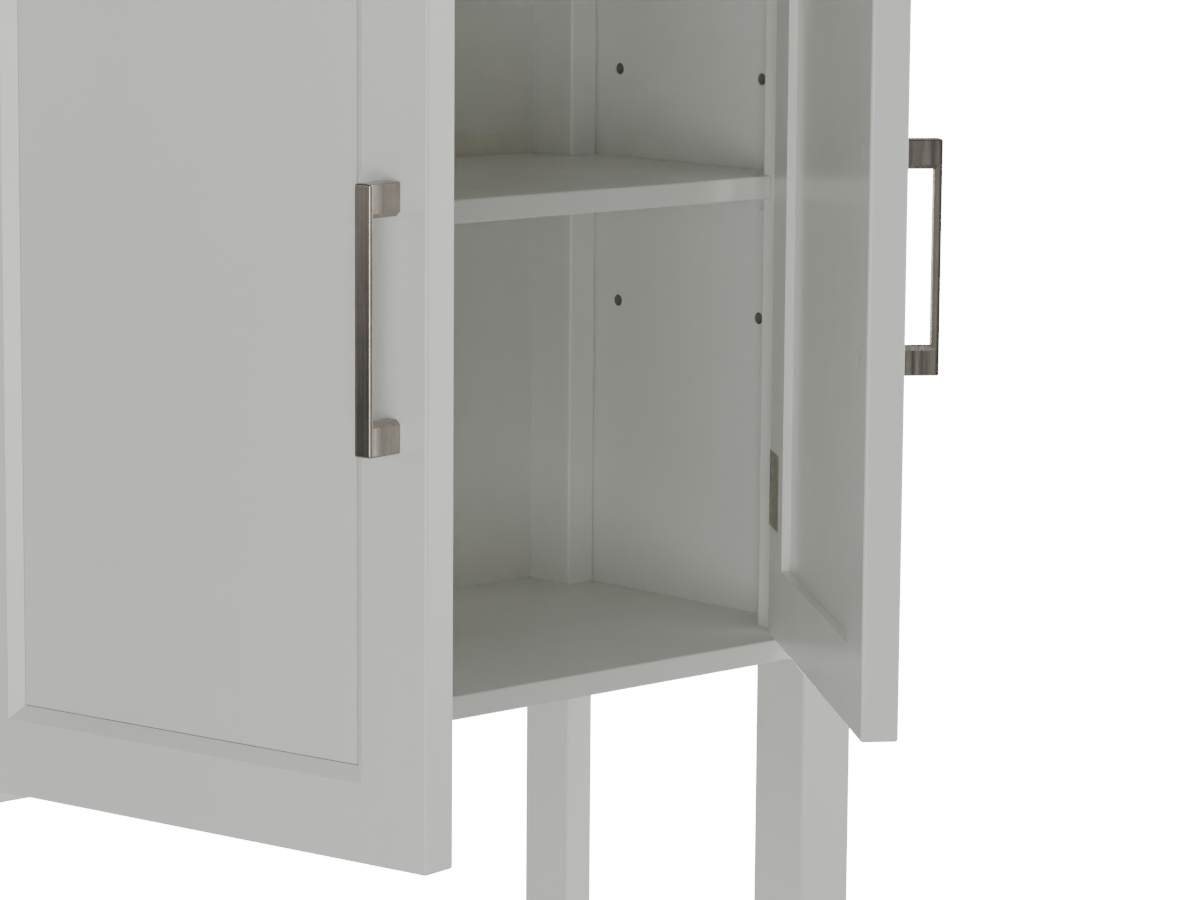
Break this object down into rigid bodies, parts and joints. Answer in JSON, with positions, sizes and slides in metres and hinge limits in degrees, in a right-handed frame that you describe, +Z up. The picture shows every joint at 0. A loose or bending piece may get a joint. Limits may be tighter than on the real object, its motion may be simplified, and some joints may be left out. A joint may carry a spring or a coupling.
{
  "type": "cabinet on legs",
  "caption": "White painted cabinet on tall square legs, with inset recessed-panel doors that stand open on butt hinges, an adjustable shelf and slim bar pulls.",
  "frame": {"origin": "on the floor, in the middle of the footprint measured with both doors open as stored", "axes": "+Z up, the doors face -Y, the back that stands against a wall faces +Y, +X to the right of someone behind the cabinet looking out, which is the viewer's right from the front"},
  "size_m": [0.644, 0.4953, 1.6],
  "materials": {
    "white_paint": "white satin lacquer on wood and MDF",
    "back_board": "white foil on thin fibreboard",
    "joining_strip": "off-white extruded profile",
    "handle_metal": "brushed aged nickel",
    "hinge_metal": "dark aged nickel, satin",
    "screw_steel": "zinc plated",
    "painted_screw": "screw heads painted over white",
    "magnet": "matte sintered ferrite",
    "catch_plastic": "white moulded plastic",
    "glide_plastic": "grey moulded plastic"
  },
  "bodies": {
    "carcass": {"front_post_left": "white_paint", "front_post_right": "white_paint", "rear_post_left": "white_paint", "rear_post_right": "white_paint", "side_panel_left": "white_paint", "side_panel_right": "white_paint", "bottom_panel": "white_paint", "top_panel": "white_paint", "adjustable_shelf": "white_paint", "rear_stretcher": "white_paint", "side_stretcher_left": "white_paint", "side_stretcher_right": "white_paint", "back_panel_lower": "back_board", "back_panel_upper": "back_board", "back_joining_strip": "joining_strip", "back_panel_screws": "screw_steel", "bottom_cam_locks": "screw_steel", "shelf_supports": "catch_plastic", "foot_glides": "glide_plastic", "wall_bracket": "screw_steel", "catch_housing": "catch_plastic", "catch_magnets": "magnet", "hinge_frame_screws": "hinge_metal", "left_lower_hinge_frame_leaf": "hinge_metal", "left_lower_hinge_pin": "hinge_metal", "left_upper_hinge_frame_leaf": "hinge_metal", "left_upper_hinge_pin": "hinge_metal", "right_lower_hinge_frame_leaf": "hinge_metal", "right_lower_hinge_pin": "hinge_metal", "right_upper_hinge_frame_leaf": "hinge_metal", "right_upper_hinge_pin": "hinge_metal"},
    "left_door": {"left_door_hinge_stile": "white_paint", "left_door_lock_stile": "white_paint", "left_door_top_rail": "white_paint", "left_door_bottom_rail": "white_paint", "left_door_panel": "white_paint", "left_door_handle": "handle_metal", "left_handle_screws": "painted_screw", "left_strike_plate": "screw_steel", "left_hinge_door_screws": "hinge_metal", "left_lower_hinge_door_leaf": "hinge_metal", "left_upper_hinge_door_leaf": "hinge_metal"},
    "right_door": {"right_door_hinge_stile": "white_paint", "right_door_lock_stile": "white_paint", "right_door_top_rail": "white_paint", "right_door_bottom_rail": "white_paint", "right_door_panel": "white_paint", "right_door_handle": "handle_metal", "right_handle_screws": "painted_screw", "right_strike_plate": "screw_steel", "right_hinge_door_screws": "hinge_metal", "right_lower_hinge_door_leaf": "hinge_metal", "right_upper_hinge_door_leaf": "hinge_metal"}
  },
  "joints": [
    {"name": "left_door_hinge", "type": "hinge", "parent": "carcass", "child": "left_door", "pos_m": [-0.2725, 0.0186, 1.353], "axis": [0, 0, -1], "range_deg": [-80.1, 29.9]},
    {"name": "right_door_hinge", "type": "hinge", "parent": "carcass", "child": "right_door", "pos_m": [0.2725, 0.0186, 1.353], "axis": [0, 0, 1], "range_deg": [-54, 56]}
  ]
}
